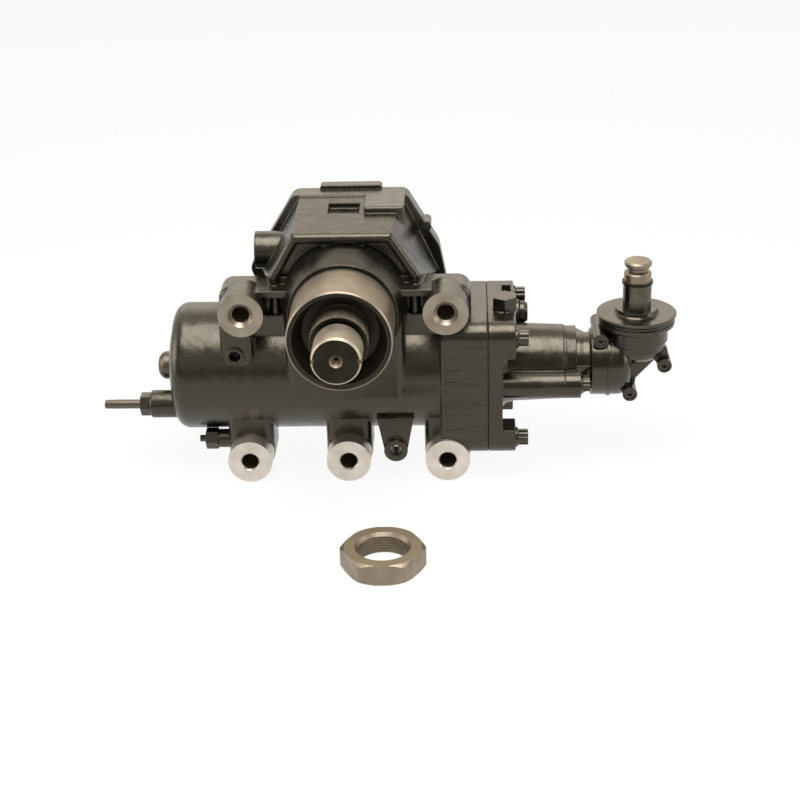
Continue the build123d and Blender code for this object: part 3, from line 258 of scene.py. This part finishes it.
# The housing's coarse skin breaks each highlight up, the valve block's front is rippled like bark, and
# the drive's finer castings have cleaner highlights.
black_casting = casting_paint("gloss black paint on cast iron", roughness=0.25, wave_depth_mm=0.5,
                              grain_depth_mm=0.13, edge_mm=3.0)
rippled_casting = casting_paint("gloss black paint on rippled cast skin", roughness=0.25,
                                wave_depth_mm=2.8, grain_depth_mm=0.30, edge_mm=2.0, ripple=4.0)
black_drive_casting = casting_paint("gloss black paint on fine cast iron", roughness=0.22,
                                    wave_depth_mm=0.25, grain_depth_mm=0.04, edge_mm=1.2)
dress(black_casting, "housing", "side_cover", "valve_cover")
dress(black_drive_casting, "bevel_housing", "bevel_top_cover")
dress_faces(rippled_casting, "housing", on_block_front)


# Machined faces of the housing: the spigot, the five boss faces with their tapped holes, and the bare
# sides of the lower bosses. Turned and milled cast iron, a warm pale grey. The M20 thread has its real
# pitch of 2.5 mm.
spigot_reach = 0.056
spigot_back = -0.0001
spigot_lip = -0.0605
boss_side = 0.105
boss_high = 0.003
boss_low = -0.165
boss_radius = 0.0235
boss_rim = 0.0003
boss_face_depth = 0.0005
boss_side_band = 0.0006
boss_side_length = 0.0235
lower_boss_top = -0.1
hole_mouth_radius = 0.0135
hole_depth = 0.05
tapped_radius = 0.0095
facing = 0.9
boss_places = [(-boss_side, boss_high), (boss_side, boss_high),
               (-boss_side, boss_low), (0.0, boss_low), (boss_side, boss_low)]
stain_mm = 16.0
metal_smoother = 0.06
metal_rougher = 0.08
# Blender's wave texture turns through 20 radians a metre where its scale is 1.
wave_radians_per_metre = 20


def turned_metal(name, colours, roughness, axis, ring_mm, depth_mm=0.04, wobble=2.0):
    """Bare machined metal with turning rings along an axis. The eye sees streaked highlights.

    Real tool marks are 0.1 to 0.3 mm apart, too fine to show, so ring_mm is as coarse as it needs to be.
    """
    material, tree, shader = new_material(name)
    place = add_node(tree, "ShaderNodeTexCoord").outputs["Object"]
    rings = add_node(tree, "ShaderNodeTexWave",
                     {"Vector": place, "Scale": 2 * pi * 1000 / ring_mm / wave_radians_per_metre,
                      "Distortion": wobble, "Detail": 2.0, "Detail Scale": 2.0},
                     wave_type="BANDS", bands_direction=axis)
    stain = add_node(tree, "ShaderNodeTexNoise", {"Vector": place, "Scale": 1000 / stain_mm, "Detail": 4.0})
    tint = add_node(tree, "ShaderNodeMix", {0: stain.outputs[0], "A": linear(colours[0]),
                                            "B": linear(colours[1])}, data_type="RGBA")
    gloss = add_node(tree, "ShaderNodeMapRange",
                     {"Value": stain.outputs[0], "From Min": noise_low, "From Max": noise_high,
                      "To Min": roughness - metal_smoother, "To Max": roughness + metal_rougher})
    relief = add_node(tree, "ShaderNodeBump", {"Height": rings.outputs["Fac"], "Strength": 0.5,
                                               "Distance": depth_mm / 1000})
    set_inputs(tree, shader, {"Base Color": tint.outputs["Result"], "Roughness": gloss.outputs[0],
                              "Normal": relief.outputs[0], "Metallic": 1.0})
    return material


def on_spigot(centre, normal):
    """Whether a housing face is on the bare spigot. The flat of its lip is painted."""
    on_it = centre.y < spigot_back and centre.xz.length < spigot_reach
    return on_it and not (centre.y < spigot_lip and normal.y < -facing)


def boss_distances(centre):
    """How far a face lies from each boss's axis, and the height of that boss."""
    return [((centre.xz - Vector(place)).length, place[1]) for place in boss_places]


def on_boss(centre, normal):
    """Whether a housing face is on a bare boss face, in its hole or on a lower boss's side."""
    for reach, height in boss_distances(centre):
        on_face = reach < boss_radius + boss_rim and centre.y < boss_face_depth and abs(normal.y) > facing
        in_hole = reach < hole_mouth_radius and centre.y < hole_depth
        on_side = abs(reach - boss_radius) < boss_side_band and centre.y < boss_side_length
        if on_face or in_hole or (on_side and height < lower_boss_top):
            return True
    return False


def on_lower_boss(centre, normal):
    """Whether a housing face is a bare one of the three lower bosses, whose iron is painted paler as a
    painted reflection of the white floor.
    """
    return centre.z < lower_boss_top and on_boss(centre, normal)


def in_tapped_hole(centre, normal):
    """Whether a housing face is the threaded wall of a mounting hole."""
    return centre.y < hole_depth and any(reach < tapped_radius for reach, height in boss_distances(centre))


# The spigot shows soft rings of light and the upper boss faces are a shade paler. The lower boss faces are
# painted almost white, a painted reflection of the white floor in front of them, and the tapped holes show
# the dark lines of their thread.
turned_iron = turned_metal("turned bare cast iron", ("#a79b8a", "#7d7263"), roughness=0.44, axis="Y",
                           ring_mm=5.0)
milled_iron = turned_metal("milled bare cast iron", ("#b0a594", "#867b6b"), roughness=0.42, axis="X",
                           ring_mm=5.0)
painted_reflection_iron = turned_metal("milled cast iron with painted floor reflection", ("#f0e8dc", "#c6bcad"), roughness=0.45, axis="X",
                          ring_mm=5.0)
tapped_iron = turned_metal("tapped M20 thread in cast iron", ("#b5a997", "#857a69"), roughness=0.42,
                           axis="Y", ring_mm=2.5, depth_mm=0.7, wobble=0.0)
dress_faces(turned_iron, "housing", on_spigot)
dress_faces(milled_iron, "housing", on_boss)
dress_faces(painted_reflection_iron, "housing", on_lower_boss)
dress_faces(tapped_iron, "housing", in_tapped_hole)


# Output shaft: case hardened steel, turned, with ground journals and an oiled serration. Its threaded
# end stands out towards the viewer, and its end face and the collar behind the thread are blackened.
shaft_end_face = -0.110
thread_end = -0.0745
serration_front = -0.075
collar_back = -0.0655
serration_back = -0.02
# The ground steel has an oily highlight, and the blackened faces are nearly black with a faint gleam. The
# thread and the serration are rougher and scatter the light, and are also painted paler: on the thread a
# painted highlight, on the serration painted light against the spigot's shade.
shaft_steel = turned_metal("oiled hardened steel", ("#8f8575", "#675e51"), roughness=0.30, axis="Y",
                           ring_mm=8.0)
thread_steel_painted_paler = turned_metal("oiled fine thread in steel, painted paler for its highlight", ("#c9bdaa", "#a39885"), roughness=0.50, axis="Y",
                            ring_mm=8.0)
serration_steel_painted_paler = turned_metal("oiled broached steel, painted paler against shade", ("#cfc3af", "#a89c89"), roughness=0.52, axis="Y",
                               ring_mm=8.0)
dark_steel = turned_metal("blackened oiled steel", ("#3a372c", "#24221b"), roughness=0.36, axis="X",
                          ring_mm=6.0)
dress(shaft_steel, "sector_shaft")
dress_faces(thread_steel_painted_paler, "sector_shaft", lambda centre, normal: centre.y < thread_end)
dress_faces(dark_steel, "sector_shaft",
            lambda centre, normal: centre.y < shaft_end_face and normal.y < -facing)
dress_faces(serration_steel_painted_paler, "sector_shaft",
            lambda centre, normal: serration_front < centre.y < serration_back)
dress_faces(dark_steel, "sector_shaft",
            lambda centre, normal: serration_front < centre.y < collar_back)


# Loose nut of the drop arm: a thin turned steel hexagon, oiled, that lies on the floor in front of the
# gear. Its M50 x 1.5 thread is cut inside, and is drawn with twice its pitch, so that it shows.
nut_hole_radius = 0.0243
upright = 0.1
nut_low, nut_high = (Vector(corner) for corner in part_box("drop_arm_nut"))
nut_centre = (nut_low + nut_high) / 2
# The nut's sides gleam. Its faced top is duller and painted paler, as painted light on the top, and its hole
# is painted darker, as painted shade, with the lines of its thread.
nut_steel = turned_metal("oiled milled nut steel", ("#a69985", "#7d715f"), roughness=0.40, axis="X",
                         ring_mm=5.0)
nut_top_steel_painted_paler = turned_metal("oiled faced nut steel, painted paler on top", ("#b5a68f", "#83765f"), roughness=0.55, axis="X",
                              ring_mm=5.0)
nut_thread_steel_painted_darker = turned_metal("cut thread in steel with painted shade", ("#8e816d", "#5f5546"), roughness=0.40, axis="Z",
                                ring_mm=3.0, depth_mm=0.8, wobble=0.0)
dress(nut_steel, "drop_arm_nut")
dress_faces(nut_top_steel_painted_paler, "drop_arm_nut", lambda centre, normal: normal.z > facing)
dress_faces(nut_thread_steel_painted_darker, "drop_arm_nut",
            lambda centre, normal: (centre - nut_centre).xy.length < nut_hole_radius
            and abs(normal.z) < upright)


# Input shaft with its snap ring and the round dust cover that turns with it. Turned steel, bare on the
# clamp end and oiled below it, and pressed sheet steel under smooth black paint.
clamp_end_start = 0.008
# The clamp end is pale and satin, the oiled steel below it is darker with a sharp gleam, and the cover's
# smooth paint has clean highlights.
input_steel = turned_metal("turned bare steel", ("#9f9382", "#7a6f60"), roughness=0.42, axis="Z",
                           ring_mm=4.0)
oiled_input_steel = turned_metal("oiled ground steel", ("#6f695d", "#48433a"), roughness=0.27, axis="Z",
                                 ring_mm=4.0)
cover_paint = casting_paint("satin black paint on pressed steel", roughness=0.24, wave_depth_mm=0.06,
                            grain_depth_mm=0.006, edge_mm=0.6)
dress(input_steel, "input_shaft")
dress_faces(oiled_input_steel, "input_shaft", lambda centre, normal: centre.z < clamp_end_start)
dress(dark_steel, "input_snap_ring")
dress(cover_paint, "dust_cover")


# Small screws, plugs and nuts on the outside: forged steel, painted over with the gear in gloss black,
# so that their edges catch the light. The spring ring in the bore is phosphated and stays dull, and
# the end plug and the limiter screw are bare.

# The paint has sharp lights on the small edges, the phosphate is nearly black, and the bare plug and
# the zinc have a grey satin shine.
bolt_paint = casting_paint("gloss black paint on forged steel", roughness=0.24, wave_depth_mm=0.08,
                           grain_depth_mm=0.01, edge_mm=0.5)
phosphated_steel = turned_metal("black phosphated steel", ("#2a2722", "#1b1916"), roughness=0.42, axis="X",
                                ring_mm=6.0)
plug_steel = turned_metal("bare steel plug", ("#756d60", "#4c453b"), roughness=0.38, axis="X", ring_mm=6.0)
zinc_steel = turned_metal("zinc plated steel", ("#7b7366", "#554e43"), roughness=0.38, axis="X",
                          ring_mm=6.0)
dress(bolt_paint, "valve_cover_bolts", "side_cover_bolts", "bevel_flange_bolts", "relief_valve_plug",
      "small_plug", "port_plug", "bevel_ear_plugs", "limiter_locknut", "bleed_screw", "adjusting_locknut")
dress(phosphated_steel, "seal_snap_ring")
dress(plug_steel, "end_plug")
dress(zinc_steel, "limiter_screw")


# Running parts inside: ground and hardened steel with a film of oil, bright and smooth.
# They show only where the gear is opened.
running_steel = turned_metal("ground oiled steel", ("#b4b0a8", "#8f8a80"), roughness=0.24, axis="X",
                             ring_mm=5.0)
dress(running_steel, "rack_piston", "limiter_poppets", "ball_return_guide", "ball_return_clip", "balls",
      "worm_shaft", "torsion_bar", "valve_sleeve", "valve_rotor", "driven_bevel_gear", "adjusting_screw",
      "adjuster_retainer", "front_sector_bearing", "rear_sector_bearing", "worm_bearing",
      "worm_bearing_ring", "stub_bearing", "stub_rear_bearing", "input_bearing")


# Seals: moulded nitrile rubber, black with a dull sheen. The mould was spark eroded to a fine texture
# of about 0.1 mm, which is drawn as 0.8 mm, so that it shows.
rubber_texture_mm = 0.8
rubber_texture_depth_mm = 0.05
rubber, tree, shader = new_material("moulded nitrile rubber")
place = add_node(tree, "ShaderNodeTexCoord").outputs["Object"]
skin = add_node(tree, "ShaderNodeTexNoise",
                {"Vector": place, "Scale": 1000 / rubber_texture_mm, "Detail": 3.0})
relief = add_node(tree, "ShaderNodeBump", {"Height": skin.outputs[0], "Strength": 0.5,
                                           "Distance": rubber_texture_depth_mm / 1000})
set_inputs(tree, shader, {"Base Color": linear("#191610"), "Specular Tint": linear(paint_sheen_colour),
                          "Roughness": 0.5, "Normal": relief.outputs[0]})
dress(rubber, "side_cover_seal", "sector_shaft_seal", "sector_dust_seal", "valve_seal", "input_seal")


# Piston ring: moulded plastic filled with bronze powder, dull brown. The powder's specks are finer
# than 0.1 mm, and are drawn as 1 mm, so that they show.
speckle_mm = 1.0
ring_plastic, tree, shader = new_material("bronze filled plastic")
place = add_node(tree, "ShaderNodeTexCoord").outputs["Object"]
speckle = add_node(tree, "ShaderNodeTexNoise", {"Vector": place, "Scale": 1000 / speckle_mm, "Detail": 3.0})
tint = add_node(tree, "ShaderNodeMix", {0: speckle.outputs[0], "A": linear("#6b4c2c"),
                                        "B": linear("#4a3520")}, data_type="RGBA")
set_inputs(tree, shader, {"Base Color": tint.outputs["Result"], "Roughness": 0.5})
dress(ring_plastic, "piston_ring")
